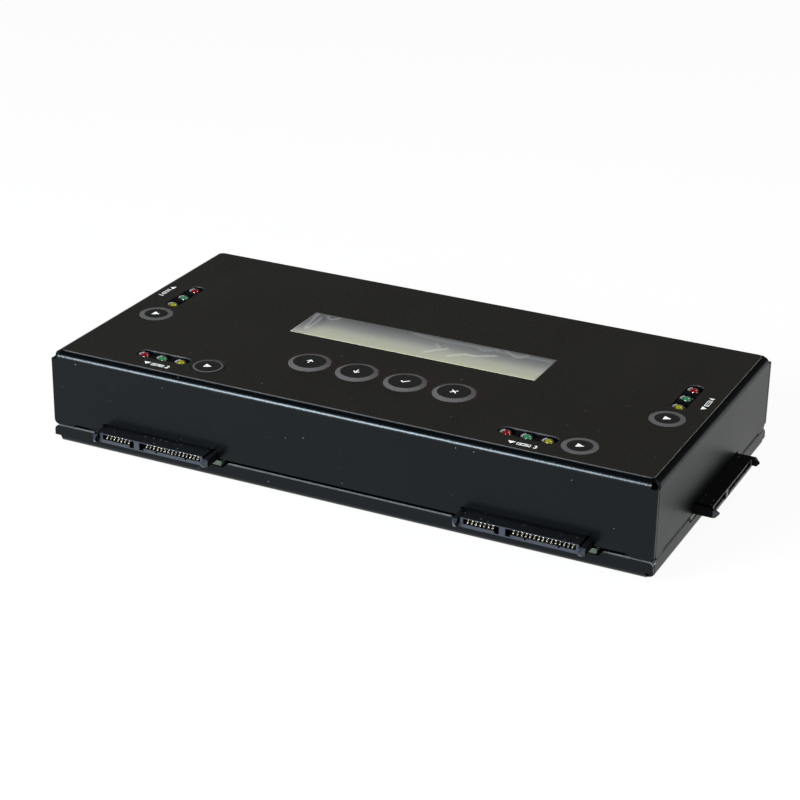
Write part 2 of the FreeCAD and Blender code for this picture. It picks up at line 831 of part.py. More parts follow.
def lamp_collars():
    """White collar on each lamp's rim, with a lug that rises in the cover's hole."""
    collars = []
    low = f"({PANEL_TOP} + lamp_rim_height)"
    tall = f"({CASE_TOP} - lug_setback - {low})"
    for colour in LAMP_ROWS:
        for k, (x, y) in enumerate(lamp_places(colour)):
            label = f"{colour}_collar_{k}"
            ring = rod(f"{label}_ring", "lamp_collar", "collar_height", x, y, low)
            lug = rod(f"{label}_lug", "lamp_collar", tall, x, y, low)
            lug.Placement.Rotation = Rotation(Vector(0, 0, 1), LUG_TURN)
            bind(lug, Angle="lug_angle")
            bore = rod(f"{label}_bore", "lamp_width + 2 * collar_slack", tall, x, y, low)
            collars.append(cut(label, joined(f"{label}_blank", ring, lug), bore))
    return group("lamp_collars", collars)


def port_places():
    """Middle and turn of each receptacle, at the outer face of its wall."""
    return [
        (f"(-{HALF_LENGTH})", PORT_SIDE_Y, -90),
        (f"(-{PORT_X})", FRONT, 0),
        (PORT_X, FRONT, 0),
        (HALF_LENGTH, PORT_SIDE_Y, 90),
    ]


def seat_port(piece, x, y, turn):
    piece.Placement = Placement(Vector(), Rotation(Vector(0, 0, 1), turn))
    place(piece, x, y, BOARD_TOP)


def contact_places():
    """Middles of the contacts along the row: the signal group, a gap, the power group."""
    total = SIGNAL_CONTACTS + POWER_CONTACTS + SKIPPED_PITCHES
    steps = [*range(SIGNAL_CONTACTS), *range(SIGNAL_CONTACTS + SKIPPED_PITCHES, total)]
    return [f"({step} * contact_pitch - {CONTACT_HALF})" for step in steps]


def port_housing(label, x, y, turn):
    """Receptacle housing with two keyed slots, and a guide arm with a tapered tip at each end."""
    part = body(label)
    plan = sketch(part, "XY_Plane")
    rectangle(plan, 0, "(port_root - port_reach) / 2", f"2 * {PORT_HALF}", "port_root + port_reach")
    pad(part, plan, "port_height")

    contacts = contact_places()
    signal_last = contacts[SIGNAL_CONTACTS - 1]
    power_first = contacts[SIGNAL_CONTACTS]
    roof = "(port_height - slot_roof)"
    ledge = f"({roof} - slot_height)"
    outer = f"({CONTACT_HALF} + slot_end)"
    slots = sketch(part, "XZ_Plane", "port_reach")
    for end, sign, near in ((f"-{outer}", "+", signal_last), (outer, "-", power_first)):
        key_near = f"{near} {sign} key_gap"
        key_far = f"{near} {sign} (key_gap + key_width)"
        outline(slots, [
            (end, roof), (key_far, roof), (key_far, "key_floor"),
            (key_near, "key_floor"), (key_near, ledge), (end, ledge),
        ])
    cavity = pocket(part, slots, "slot_depth")
    front_face = next(
        face for face in cavity.Shape.Faces
        if all(abs(v.Y + size("port_reach")) < 1e-6 for v in face.Vertexes)
    )
    rims = [wire for wire in front_face.Wires if not wire.isSame(front_face.OuterWire)]
    mouth = [edge for wire in rims for edge in wire.Edges]
    lead_in = part.newObject("PartDesign::Chamfer", f"{label}_lead_in")
    lead_in.Base = (cavity, edge_names(cavity, lambda edge: any(edge.isSame(rim) for rim in mouth)))
    bind(lead_in, Size="slot_lead_in")
    doc.recompute()

    reliefs = sketch(part, "XZ_Plane", "port_reach")
    for quarter in (1, 3):
        long_contact = contacts[SIGNAL_CONTACTS + quarter * POWER_CONTACTS // 4]
        rectangle(reliefs, long_contact, ledge, "relief_width", "2 * relief_depth")
    pocket(part, reliefs, "slot_depth")

    throats = sketch(part, "XZ_Plane", "port_reach")
    for first, last in ((contacts[0], signal_last), (power_first, contacts[-1])):
        throat = "(2 * contact_sheet)"
        rectangle(
            throats, f"({first} + {last}) / 2", f"{ledge} + {throat} / 2",
            f"{last} - {first} + contact_pitch", throat,
        )
    pocket(part, throats, "port_reach + port_root")

    webs = sketch(part, "XZ_Plane", "port_reach")
    arms = sketch(part, "XZ_Plane", "port_reach + arm_reach")
    bar = f"({ARM_HALF} - arm_width / 2)"
    for side in SIDES:
        rectangle(
            webs, f"({side}) * ({PORT_HALF} + arm_gap / 2)", "arm_low + arm_web / 2",
            "2 * arm_gap", "arm_web",
        )
        rectangle(arms, f"({side}) * {bar}", "arm_low + arm_height / 2", "arm_width", "arm_height")
    for drawing, deep in ((webs, "port_reach + port_root"), (arms, "port_reach + arm_reach + port_root")):
        feature = pad(part, drawing, deep)
        feature.Reversed = True
        doc.recompute()

    tip = "(-(port_reach + arm_reach))"
    points = sketch(part, "XY_Plane", "port_height")
    for side in SIDES:
        outside = f"({side}) * {ARM_HALF}"
        outline(points, [
            (outside, f"{tip} + arm_taper"), (outside, tip),
            (f"({side}) * ({ARM_HALF} - arm_width + arm_point)", tip),
        ])
    pocket(part, points, "port_height")
    slopes = sketch(part, "YZ_Plane")
    arm_middle = "(arm_low + arm_height / 2)"
    arm_top = "(arm_low + arm_height)"
    for level, sign, run in ((arm_top, "+", "arm_taper"), ("arm_low", "-", "arm_undercut")):
        outline(slopes, [
            (f"{tip} + {run}", level), (tip, level), (tip, f"{arm_middle} {sign} arm_point / 2"),
        ])
    pocket(part, slopes)
    seat_port(part, x, y, turn)
    return part


def contact_strip():
    """One bent contact: soldered tail, riser, run on the slot's floor, and a spring that bows up."""
    half = size("contact_sheet") / 2
    low = size("port_height - slot_roof - slot_height") + half
    back = size("port_root + contact_gap") + half
    front = size("port_reach - contact_recess")
    middle = [
        Vector(0, back + size("contact_tail"), half),
        Vector(0, back, half),
        Vector(0, back, low),
        Vector(0, size("slot_depth - port_reach"), low),
        Vector(0, size("contact_ramp") - front, low + size("contact_bow")),
        Vector(0, -front, low),
    ]
    runs = [(b - a).normalize() for a, b in zip(middle, middle[1:])]
    normals = [Vector(0, -run.z, run.y) for run in runs]
    upper, lower = [], []
    for point, before, after in zip(middle, normals[:1] + normals, normals + normals[-1:]):
        mitre = (before + after) * (half / (before + after).dot(before))
        upper.append(point + mitre)
        lower.append(point - mitre)
    ring = upper + lower[::-1]
    section = Part.Face(Part.makePolygon(ring + ring[:1]))
    wide = size("contact_width")
    return section.extrude(Vector(wide, 0, 0)).translated(Vector(-wide / 2, 0, 0))


def port_contacts(label, strip, x, y, turn):
    row = new("Part::Feature", label)
    row.Shape = Part.makeCompound([strip.translated(Vector(size(at), 0, 0)) for at in contact_places()])
    seat_port(row, x, y, turn)
    return row


def rubber_feet():
    feet = []
    for sx in SIDES:
        for sy in SIDES:
            foot = new("Part::Cone", f"foot_{sx}_{sy}")
            bind(foot, Radius1="foot_width / 2 - foot_taper", Radius2="foot_width / 2")
            bind(foot, Height="foot_height")
            place(
                foot, f"({sx}) * ({HALF_LENGTH} - foot_inset_x)",
                f"{MIDDLE} + ({sy}) * ({HALF_DEPTH} - foot_inset_y)",
            )
            feet.append(foot)
    return group("rubber_feet", feet)


def case_screws():
    screws = []
    for k, (x, y) in enumerate(columns()):
        shank = rod(f"screw_shank_{k}", "thread", f"{BOARD_TOP} + screw_grip - {TRAY_LOW}", x, y, TRAY_LOW)
        head = rod(
            f"screw_head_{k}", "screw_head", "screw_head_height", x, y, f"{TRAY_LOW} - screw_head_height"
        )
        screws.append(joined(f"screw_{k}", shank, head))
    return group("case_screws", screws)


def tube(label, across, bore, low, high, x, y):
    wall = rod(f"{label}_wall", across, f"{high} - {low}", x, y, low)
    hole = rod(f"{label}_hole", bore, f"{high} - {low}", x, y, low)
    return cut(label, wall, hole)


def board_spacers():
    return group("board_spacers", [
        tube(f"spacer_{k}", "spacer_width", SCREW_HOLE, FLOOR, BOARD_LOW, x, y)
        for k, (x, y) in enumerate(columns())
    ])


def cover_standoffs():
    return group("cover_standoffs", [
        tube(f"standoff_{k}", "spacer_width", TAPPED_HOLE, PANEL_TOP, COVER_UNDER, x, y)
        for k, (x, y) in enumerate(columns())
    ])


def board_columns():
    """Hexagonal columns: tapped at the foot for the case screws, with a stud into the cover's standoffs."""
    result = []
    for k, (x, y) in enumerate(columns()):
        hexagon = new("Part::Prism", f"column_hexagon_{k}")
        hexagon.Polygon = 6
        bind(hexagon, Circumradius="column_flats / sqrt(3)", Height=f"{PANEL_LOW} - {BOARD_TOP}")
        place(hexagon, x, y, BOARD_TOP)
        bore = rod(f"column_bore_{k}", TAPPED_HOLE, "screw_grip + sheet", x, y, BOARD_TOP)
        stud = rod(f"column_stud_{k}", "thread", "thread_length", x, y, PANEL_LOW)
        result.append(joined(f"column_{k}", cut(f"column_tapped_{k}", hexagon, bore), stud))
    return group("board_columns", result)


JACK_X = f"({HALF_LENGTH} - jack_inset)"
JACK_MOUTH = f"({REAR} - sheet - jack_gap)"
JACK_AXIS = f"({BOARD_TOP} + jack_axis)"


def inlet_jack():
    case = block(
        "jack_case", "jack_width", "jack_depth", "jack_height",
        JACK_X, f"({JACK_MOUTH} - jack_depth / 2)", BOARD_TOP,
    )
    bore = rod("jack_barrel", "jack_bore", "jack_bore_depth", JACK_X, JACK_MOUTH, JACK_AXIS, (0, -1, 0))
    return cut("inlet_jack", case, bore)


def inlet_pin():
    long = "jack_bore_depth - jack_pin_setback"
    start = f"{JACK_MOUTH} - jack_bore_depth"
    return rod("inlet_pin", "jack_pin", long, JACK_X, start, JACK_AXIS, (0, 1, 0))


ROCKER_X = f"({HALF_LENGTH} - rocker_inset)"
ROCKER_Z = f"({BOARD_TOP} + rocker_lift)"
PIVOT_Y = f"({REAR} + {PIVOT_REACH})"
WELL_LENGTH = "(rocker_body_length - 2 * rocker_well_wall)"
WELL_HEIGHT = "(rocker_body_height - 2 * rocker_well_wall)"


def switch_frame():
    """Frame of the rear switch: a rim on the wall, a body behind it and a well with two pivot holes."""
    rim = block(
        "frame_rim", "rocker_body_length + 2 * rocker_rim_edge", "rocker_rim",
        "rocker_body_height + 2 * rocker_rim_edge", ROCKER_X, f"({REAR} + rocker_rim / 2)",
        f"{ROCKER_Z} - rocker_body_height / 2 - rocker_rim_edge",
    )
    deep = "(rocker_rim + rocker_body_depth)"
    case = block(
        "frame_case", "rocker_body_length", deep, "rocker_body_height", ROCKER_X,
        f"({REAR} + rocker_rim - {deep} / 2)", f"{ROCKER_Z} - rocker_body_height / 2",
    )
    well = block(
        "frame_well", WELL_LENGTH, "rocker_well_depth", WELL_HEIGHT, ROCKER_X,
        f"({REAR} + rocker_rim - rocker_well_depth / 2)", f"{ROCKER_Z} - {WELL_HEIGHT} / 2",
    )
    pivot_height = f"({WELL_HEIGHT} + 2 * (rocker_pin_length - rocker_side_gap + rocker_pin_slack))"
    pivots = rod(
        "frame_pivots", "rocker_pin + 2 * rocker_pin_slack", pivot_height, ROCKER_X, PIVOT_Y,
        f"{ROCKER_Z} - {pivot_height} / 2",
    )
    return cut("switch_frame", joined("frame_solid", rim, case), well, pivots)


def power_rocker():
    """Rocker with a hollow face, turned about its two pins to the off side."""
    part = body("power_rocker")
    half = "(rocker_length / 2)"
    tall = f"({WELL_HEIGHT} - 2 * rocker_side_gap)"
    plan = sketch(part, "XY_Plane", f"-{tall} / 2")
    low = f"({ROCKER_TIP} - rocker_skirt)"
    outline(plan, [
        (f"-{half}", ROCKER_TIP), (f"-{half}", low), ("-rocker_hub / 2", "-rocker_hub / 2"),
        ("rocker_hub / 2", "-rocker_hub / 2"), (half, low), (half, ROCKER_TIP), (0, "rocker_face"),
    ])
    pad(part, plan, tall)
    pins = sketch(part, "XY_Plane", f"-{tall} / 2 - rocker_pin_length")
    circle(pins, 0, 0, "rocker_pin")
    pad(part, pins, f"{tall} + 2 * rocker_pin_length")
    part.Placement = Placement(Vector(), Rotation(Vector(0, 0, 1), size("rocker_tilt")))
    place(part, ROCKER_X, PIVOT_Y, ROCKER_Z)
    return part


BLADE_START = f"({REAR} - rocker_body_depth)"


def switch_blades():
    return group("switch_blades", [
        block(
            f"blade_{side}", "blade_sheet", "blade_length", "blade_width",
            f"({ROCKER_X} + ({side}) * blade_pitch / 2)", f"({BLADE_START} - blade_length / 2)",
            f"{ROCKER_Z} - blade_width / 2",
        )
        for side in SIDES
    ])


def switch_leads():
    """Insulated leads from the switch blades down to the main board."""
    leads = []
    radius = size("lead_bend")
    start = Vector(0, size(f"{BLADE_START} - blade_length"), size(ROCKER_Z))
    bend = start - Vector(0, size("lead_run"), 0)
    centre = bend - Vector(0, 0, radius)
    quarter = Vector(0, -math.sin(math.pi / 4), math.cos(math.pi / 4)) * radius
    fall = centre - Vector(0, radius, 0)
    foot = Vector(0, fall.y, size(BOARD_TOP))
    route = Part.Wire([
        Part.LineSegment(start, bend).toShape(),
        Part.Arc(bend, centre + quarter, fall).toShape(),
        Part.LineSegment(fall, foot).toShape(),
    ])
    section = Part.Wire(Part.Circle(start, Vector(0, -1, 0), size("lead_width") / 2).toShape())
    lead = route.makePipeShell([section], True, True)
    for side in SIDES:
        at = size(f"{ROCKER_X} + ({side}) * blade_pitch / 2")
        leads.append(lead.translated(Vector(at, 0, 0)))
    pair = new("Part::Feature", "switch_leads")
    pair.Shape = Part.makeCompound(leads)
    return pair


def controller_chips():
    return group("controller_chips", [
        block(
            f"chip_{side}", "chip_width", "chip_width", "chip_height",
            f"({side}) * chip_spacing / 2", f"({REAR} - chip_inset)", BOARD_TOP,
        )
        for side in SIDES
    ])


LINK_X = f"(link_side_inset - {HALF_LENGTH})"
LINK_Y = f"({REAR} - link_inset)"
LINK_LENGTH = f"({LINK_PINS} * pin_pitch)"
STAGE_FIRST = f"({LINK_X} + {LINK_LENGTH} / 2 + stage_gap + capacitor_width / 2)"
STAGE_LAST = f"({ROCKER_X} - rocker_body_length / 2 - stage_gap - capacitor_width / 2)"
STAGES = [
    f"({STAGE_FIRST} + {k} / {POWER_STAGES - 1} * ({STAGE_LAST} - {STAGE_FIRST}))"
    for k in range(POWER_STAGES)
]


def power_coils():
    y = f"({REAR} - coil_inset)"
    return group("power_coils", [
        block(f"coil_{k}", "coil_width", "coil_width", "coil_height", x, y, BOARD_TOP)
        for k, x in enumerate(STAGES)
    ])


def filter_capacitors():
    y = f"({REAR} - capacitor_inset)"
    return group("filter_capacitors", [
        rod(f"capacitor_{k}", "capacitor_width", "capacitor_height", x, y, BOARD_TOP)
        for k, x in enumerate(STAGES)
    ])


def buzzer():
    x = f"(buzzer_side_inset - {HALF_LENGTH})"
    y = f"({REAR} - buzzer_inset)"
    case = rod("buzzer_case", "buzzer_width", "buzzer_height", x, y, BOARD_TOP)
    mouth_low = f"{BOARD_TOP} + buzzer_height - buzzer_hole"
    hole = rod("buzzer_mouth", "buzzer_hole", "buzzer_hole", x, y, mouth_low)
    return cut("buzzer", case, hole)


def link_socket():
    case = block("socket_case", LINK_LENGTH, "link_width", "link_socket_height", LINK_X, LINK_Y, BOARD_TOP)
    groove = f"({LINK_LENGTH} - pin_pitch + link_groove)"
    grooves = [
        block(
            f"socket_groove_{side}", groove, "link_groove", "link_engage",
            LINK_X, f"({LINK_Y} + ({side}) * pin_pitch / 2)",
            f"{BOARD_TOP} + link_socket_height - link_engage",
        )
        for side in SIDES
    ]
    return cut("link_socket", case, *grooves)


def link_header():
    return block(
        "link_header", LINK_LENGTH, "link_width", "link_header_height",
        LINK_X, LINK_Y, f"{PANEL_LOW} - link_header_height",
    )


def link_pins():
    low = f"({BOARD_TOP} + link_socket_height - link_engage)"
    tall = f"{PANEL_LOW} - link_header_height - {low}"
    pins = []
    for k in range(LINK_PINS):
        for side in SIDES:
            x = f"({LINK_X} + {k - (LINK_PINS - 1) / 2} * pin_pitch)"
            y = f"({LINK_Y} + ({side}) * pin_pitch / 2)"
            pins.append(block(f"link_pin_{k}_{side}", "pin_width", "pin_width", tall, x, y, low))
    return group("link_pins", pins)


nodes = [
    top_cover(), bottom_tray(), panel_overlay(), main_board(), panel_board(),
    rubber_feet(), case_screws(), board_spacers(), board_columns(), cover_standoffs(),
    display_window(), peel_film(), display_bezel(), display_glass(), display_backlight(),
    display_board(), display_rivets(), display_pins(),
    lamps("red"), lamps("green"), lamps("yellow"), lamp_collars(),
    key_switches(menu_keys() + start_keys()),
    inlet_jack(), inlet_pin(), switch_frame(), power_rocker(), switch_blades(), switch_leads(),
    controller_chips(), power_coils(), filter_capacitors(), buzzer(),
    link_socket(), link_header(), link_pins(),
]
for name, (x, y) in zip(("up", "down", "confirm", "cancel"), menu_keys()):
    nodes.append(key(f"{name}_key", x, y, "menu_key_width", "menu_disc_width", "menu_disc_rise"))
    nodes.append(plunger(f"{name}_plunger", x, y))
for number, (x, y) in enumerate(start_keys(), 1):
    nodes.append(key(f"start_key_{number}", x, y, "start_key_width", "start_disc_width", "start_disc_rise"))
    nodes.append(plunger(f"start_plunger_{number}", x, y))
strip = contact_strip()
for number, seat in enumerate(port_places(), 1):
    nodes.append(port_housing(f"port_{number}_housing", *seat))
    nodes.append(port_contacts(f"port_{number}_contacts", strip, *seat))
doc.recompute()

faults = [piece.Label for piece in doc.Objects if {"Invalid", "Error"} & set(piece.State)]
faults += [node.Label for node in nodes if node.Shape.isNull() or not node.Shape.isValid()]
faults += [node.Label for node in nodes if any(solid.Volume <= 0 for solid in node.Shape.Solids)]
if faults:
    raise RuntimeError(f"not built: {', '.join(faults)}")

os.makedirs("parts", exist_ok=True)
for node in nodes:
    node.Shape.exportStep(f"parts/{node.Label}.step")
    print(node.Label, len(node.Shape.Solids), round(node.Shape.Volume, 1))
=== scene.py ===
import math

import bmesh
import bpy
from mathutils import Matrix, Vector
from mathutils.geometry import intersect_point_line


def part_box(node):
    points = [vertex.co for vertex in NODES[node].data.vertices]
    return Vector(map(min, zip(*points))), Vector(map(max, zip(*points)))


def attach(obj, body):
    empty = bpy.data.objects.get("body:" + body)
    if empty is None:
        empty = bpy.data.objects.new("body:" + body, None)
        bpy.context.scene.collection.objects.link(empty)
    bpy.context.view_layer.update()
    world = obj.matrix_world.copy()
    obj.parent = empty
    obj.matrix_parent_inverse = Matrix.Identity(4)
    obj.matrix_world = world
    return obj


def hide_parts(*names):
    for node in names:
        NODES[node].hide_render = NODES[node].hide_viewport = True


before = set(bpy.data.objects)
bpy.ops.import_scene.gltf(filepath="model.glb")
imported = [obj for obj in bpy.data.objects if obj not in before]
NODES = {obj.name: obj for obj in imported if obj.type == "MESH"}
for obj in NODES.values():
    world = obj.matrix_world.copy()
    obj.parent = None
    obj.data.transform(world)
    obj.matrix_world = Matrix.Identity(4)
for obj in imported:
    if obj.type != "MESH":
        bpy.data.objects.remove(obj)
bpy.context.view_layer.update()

# Looks of the hard drive eraser. Metres, in the frame of the solids: the front is -Y, Z is up.
# Printed marks and the creases of the film are drawn in millimetres.

MM = 0.001
X, Y, Z = range(3)
UP = Vector((0, 0, 1))
MENU_KEYS = ["up", "down", "confirm", "cancel"]
NUMBERS = [1, 2, 3, 4]  # of the receptacles, and of the start keys beside them


def middle_of(node):
    """Middle of a node's box."""
    low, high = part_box(node)
    return (low + high) / 2


def end_of(node):
    """How far a node reaches along X."""
    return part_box(node)[1].x


def top_of(node):
    """How far a node reaches upward."""
    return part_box(node)[1].z


# Shader maths

class Value:
    """A shader socket that takes part in arithmetic: each operation adds a Math node."""

    def __init__(self, finish, socket):
        self.finish = finish
        self.socket = socket

    def math(self, operation, *terms):
        return self.finish.node("ShaderNodeMath", {"operation": operation}, dict(enumerate(terms)))

    def __add__(self, other):
        return self.math("ADD", self, other)

    def __radd__(self, other):
        return self.math("ADD", other, self)

    def __sub__(self, other):
        return self.math("SUBTRACT", self, other)

    def __rsub__(self, other):
        return self.math("SUBTRACT", other, self)

    def __mul__(self, other):
        return self.math("MULTIPLY", self, other)

    def __rmul__(self, other):
        return self.math("MULTIPLY", other, self)

    def __truediv__(self, other):
        return self.math("DIVIDE", self, other)

    def __pow__(self, other):
        return self.math("POWER", self, other)

    def __abs__(self):
        return self.math("ABSOLUTE", self)

    def __lt__(self, other):
        return self.math("LESS_THAN", self, other)

    def __gt__(self, other):
        return self.math("GREATER_THAN", self, other)

    def fraction(self):
        return self.math("FRACT", self)

    def at_most(self, limit):
        return self.math("MINIMUM", self, limit)


class Finish:
    """A node tree in the making."""

    def __init__(self, tree):
        self.tree = tree
        tree.nodes.clear()

    def node(self, kind, settings=None, sockets=None, output=0):
        """Add a node: its settings first, then the values or links of its sockets."""
        made = self.tree.nodes.new(kind)
        for name, setting in (settings or {}).items():
            if name == "stops":
                ramp = made.color_ramp.elements
                while len(ramp) < len(setting):
                    ramp.new(1)
                for stop, (position, colour) in zip(ramp, setting):
                    stop.position = position
                    stop.color = (*colour, 1)
            else:
                setattr(made, name, setting)
        for name, value in (sockets or {}).items():
            if isinstance(value, Value):
                self.tree.links.new(value.socket, made.inputs[name])
            else:
                made.inputs[name].default_value = value
        return Value(self, made.outputs[output]) if made.outputs else None

    def place(self):
        """Where a point of the surface is, in the piece's own frame."""
        return self.node("ShaderNodeTexCoord", output="Object")

    def part(self, vector, axis):
        """What a vector has along one axis."""
        return self.node("ShaderNodeSeparateXYZ", sockets={0: vector}, output=axis)

    def along(self, axis):
        """Where a point of the surface is along one axis."""
        return self.part(self.place(), axis)

    def noise(self, size, detail=2, stretch=(1, 1, 1)):
        """Cloudy value about 0.5 whose patches are of the given size, longer along a stretched axis."""
        spread = self.node(
            "ShaderNodeVectorMath", {"operation": "MULTIPLY"},
            {0: self.place(), 1: [1 / (size * times) for times in stretch]},
        )
        return self.node("ShaderNodeTexNoise", sockets={"Vector": spread, "Scale": 1, "Detail": detail})

    def ramp(self, value, stops):
        """Colour that follows the value through the stops, each a position and its colour."""
        return self.node("ShaderNodeValToRGB", {"stops": stops}, {0: value})

    def step(self, value, low, high):
        """0 below low, 1 above high, smooth between."""
        return self.node(
            "ShaderNodeMapRange", {"interpolation_type": "SMOOTHSTEP"},
            {"Value": value, "From Min": low, "From Max": high},
        )

    def blend(self, share, first, second):
        """Colour that goes from the first to the second as the share goes from 0 to 1."""
        first_socket, second_socket, colour_output = 6, 7, 2
        sockets = {0: share}
        for socket, colour in ((first_socket, first), (second_socket, second)):
            sockets[socket] = colour if isinstance(colour, Value) else (*colour, 1)
        return self.node("ShaderNodeMix", {"data_type": "RGBA"}, sockets, colour_output)

    def specks(self, across, up, spacing, width, kept):
        """Specks on a flat face with these two coordinates: 1 on a speck. A share of the cells hold one."""
        flat = self.node("ShaderNodeCombineXYZ", sockets={0: across, 1: up})
        cells = {"Vector": flat, "Scale": 1 / spacing}
        settings = {"voronoi_dimensions": "2D"}
        distance = self.node("ShaderNodeTexVoronoi", settings, cells, "Distance")
        tint = self.node("ShaderNodeTexVoronoi", settings, cells, "Color")
        chance = self.node("ShaderNodeSeparateColor", sockets={0: tint}, output="Red")
        size = self.node("ShaderNodeSeparateColor", sockets={0: tint}, output="Green")
        smallest = 0.3
        radius = (smallest + (1 - smallest) * size) * (width / spacing / 2)
        return (distance < radius) * (chance < kept)

    def bump(self, height, depth, strength):
        """Normal of a surface with this relief."""
        return self.node(
            "ShaderNodeBump", sockets={"Height": height, "Distance": depth, "Strength": strength}
        )

    def surface(self, **sockets):
        """Close the tree with one surface shader."""
        named = {name.replace("_", " "): value for name, value in sockets.items()}
        self.close(self.node("ShaderNodeBsdfPrincipled", sockets=named))

    def close(self, shader, kind="Material"):
        """Link the shader to the output of the tree."""
        self.node(f"ShaderNodeOutput{kind}", sockets={"Surface": shader})

    def seen_by(self, *kinds):
        """1 for rays of these kinds, 0 for the rest."""
        total = sum(self.node("ShaderNodeLightPath", output=f"Is {kind} Ray") for kind in kinds)
        return total.at_most(1)


# Finishes

MATERIALS = {}


def finish(name):
    """New material, whose node tree is then filled."""
    material = bpy.data.materials.new(name)
    material.use_nodes = True
    MATERIALS[name] = material
    return Finish(material.node_tree)


def grey(level):
    """Neutral colour."""
    return (level, level, level)


def powder_coat():
    """Satin black baked paint on the folded steel, duller on its end walls, with fine grain and dust."""
    f = finish("satin_black_coat")
    wall = end_of("top_cover")
    grain = f.noise(0.6 * MM)
    cloud = f.noise(24 * MM, detail=3)
    end_wall = f.step(abs(f.along(X)), wall - 0.5 * MM, wall - 0.1 * MM)
    dust = f.specks(f.along(X) + f.along(Y), f.along(Z), spacing=6 * MM, width=0.30 * MM, kept=0.24)
    paint = f.blend(cloud, (0.0006, 0.0009, 0.0012), (0.0012, 0.0015, 0.0019))
    f.surface(
        Base_Color=f.blend(dust, paint, (0.14, 0.15, 0.16)),
        Roughness=0.21 + 0.07 * cloud + 0.16 * end_wall,
        Specular_IOR_Level=0.205,
        Specular_Tint=(0.82, 0.93, 1.0, 1),
        Normal=f.bump(grain, depth=0.05 * MM, strength=0.5),
    )


def panel_film():
    """Printed film of the panel: warm black, faintly smeared, with a little dust."""
    f = finish("warm_black_film")
    smear = 0.6 * f.noise(30 * MM, detail=4, stretch=(1, 2, 1)) + 0.4 * f.noise(0.4 * MM)
    dust = f.specks(f.along(X), f.along(Y), spacing=10 * MM, width=0.36 * MM, kept=0.28)
    ink = f.blend(smear, (0.0085, 0.0078, 0.0062), (0.0150, 0.0138, 0.0114))
    f.surface(
        Base_Color=f.blend(dust, ink, (0.22, 0.22, 0.21)),
        Roughness=0.22 + 0.12 * smear,
        Specular_IOR_Level=0.25,
        Normal=f.bump(f.noise(1.2 * MM), depth=0.01 * MM, strength=0.12),
    )


def film_edge_highlight():
    """Cut edge of the panel's film, lighter as a painted highlight, paler still at the film's two ends."""
    f = finish("film_edge_highlight")
    reach = end_of("panel_overlay")
    tone = f.noise(1.6 * MM, detail=3)
    end = f.step(abs(f.along(X)), reach - 0.2 * MM, reach - 0.1 * MM)
    # Painted highlight: lighter along the long edges, lighter still on the end edges
    long_edge_highlight = f.blend(tone, (0.02, 0.02, 0.022), (0.085, 0.085, 0.09))
    end_edge_highlight = f.blend(tone, (0.12, 0.12, 0.115), (0.42, 0.42, 0.40))
    f.surface(
        Base_Color=f.blend(end, long_edge_highlight, end_edge_highlight),
        Roughness=0.29 + 0.12 * f.noise(0.18 * MM),
    )


def key_print(key, inner, outer):
    """Dark key with a grey ring printed round its middle, from the inner to the outer radius."""
    f = finish(f"{key}_print")
    middle = middle_of(key)
    x, y = f.along(X) - middle.x, f.along(Y) - middle.y
    radius = (x * x + y * y) ** 0.5
    soft = 0.06 * MM
    ring = f.step(radius, inner - soft, inner + soft) * (1 - f.step(radius, outer - soft, outer + soft))
    tone = f.noise(1.6 * MM, detail=3)
    disc_ink = f.blend(tone, (0.0056, 0.0052, 0.0053), (0.0086, 0.0080, 0.0081))
    ring_ink = f.blend(tone, (0.068, 0.066, 0.066), (0.092, 0.088, 0.088))
    f.surface(
        Base_Color=f.blend(ring, disc_ink, ring_ink),
        Roughness=0.42 + 0.12 * f.noise(0.3 * MM),
        Specular_IOR_Level=0.3,
        Normal=f.bump(f.noise(0.2 * MM), depth=0.01 * MM, strength=0.4),
    )


def port_plastic():
    """Black moulded plastic of the receptacles, with a little dust on top."""
    f = finish("port_black")
    tone = f.noise(0.9 * MM, detail=3)
    fine = f.noise(0.1 * MM)
    least_rise = 0.7
    upward = f.part(f.node("ShaderNodeNewGeometry", output="Normal"), Z) > least_rise
    dust = f.specks(f.along(X), f.along(Y), spacing=2.6 * MM, width=0.34 * MM, kept=0.4) * upward
    plastic = f.blend(tone, (0.0026, 0.0029, 0.0036), (0.0042, 0.0046, 0.0055))
    f.surface(
        Base_Color=f.blend(dust, plastic, (0.20, 0.21, 0.22)),
        Roughness=0.44 + 0.12 * fine,
        Specular_IOR_Level=0.06,
        Normal=f.bump(fine, depth=0.01 * MM, strength=0.6),
    )


def tinted_lens(colour, shaded_foot, bright):
    """Clear tinted plastic of a lamp, drawn opaque and glossy: painted light toward its top, painted shade
    toward its foot.
    """
    f = finish(f"lamp_{colour}")
    top = top_of(f"{colour}_lamps")
    dome = 2.2 * MM
    cloud = 0.3 * (f.noise(0.8 * MM) - 0.5)
    # Painted light and shade: the colour goes from the shaded foot up to the lit top
    f.surface(
        Base_Color=f.blend(f.step(f.along(Z), top - dome, top) + cloud, shaded_foot, bright),
        Roughness=0.10 + 0.06 * f.noise(0.5 * MM),
        Coat_Weight=1.0,
    )


def solder_mask():
    """Green board with copper tracks under the mask and bright pads."""
    f = finish("board_green")
    x, y = f.along(X), f.along(Y)
    pitch, track_share = 1.1 * MM, 0.4
    crosswise = f.noise(9 * MM, detail=1) > 0.5
    stripe = x * crosswise + y * (1 - crosswise)
    track = ((stripe / pitch).fraction() < track_share) * (f.noise(5 * MM) > 0.45)
    pad = f.specks(x, y, spacing=3 * MM, width=1.3 * MM, kept=0.45)
    mask = f.blend(track, (0.016, 0.095, 0.040), (0.030, 0.150, 0.066))
    f.surface(
        Base_Color=f.blend(pad, mask, (0.62, 0.63, 0.62)),
        Metallic=pad,
        Roughness=0.42 - 0.12 * pad,
        Normal=f.bump(track, depth=0.03 * MM, strength=0.5),
    )


def clear_window():
    """Clear pane over the display."""
    f = finish("window_clear")
    f.surface(Base_Color=(*grey(0.8), 1), Roughness=0.03 + 0.03 * f.noise(4 * MM), Alpha=0.08)


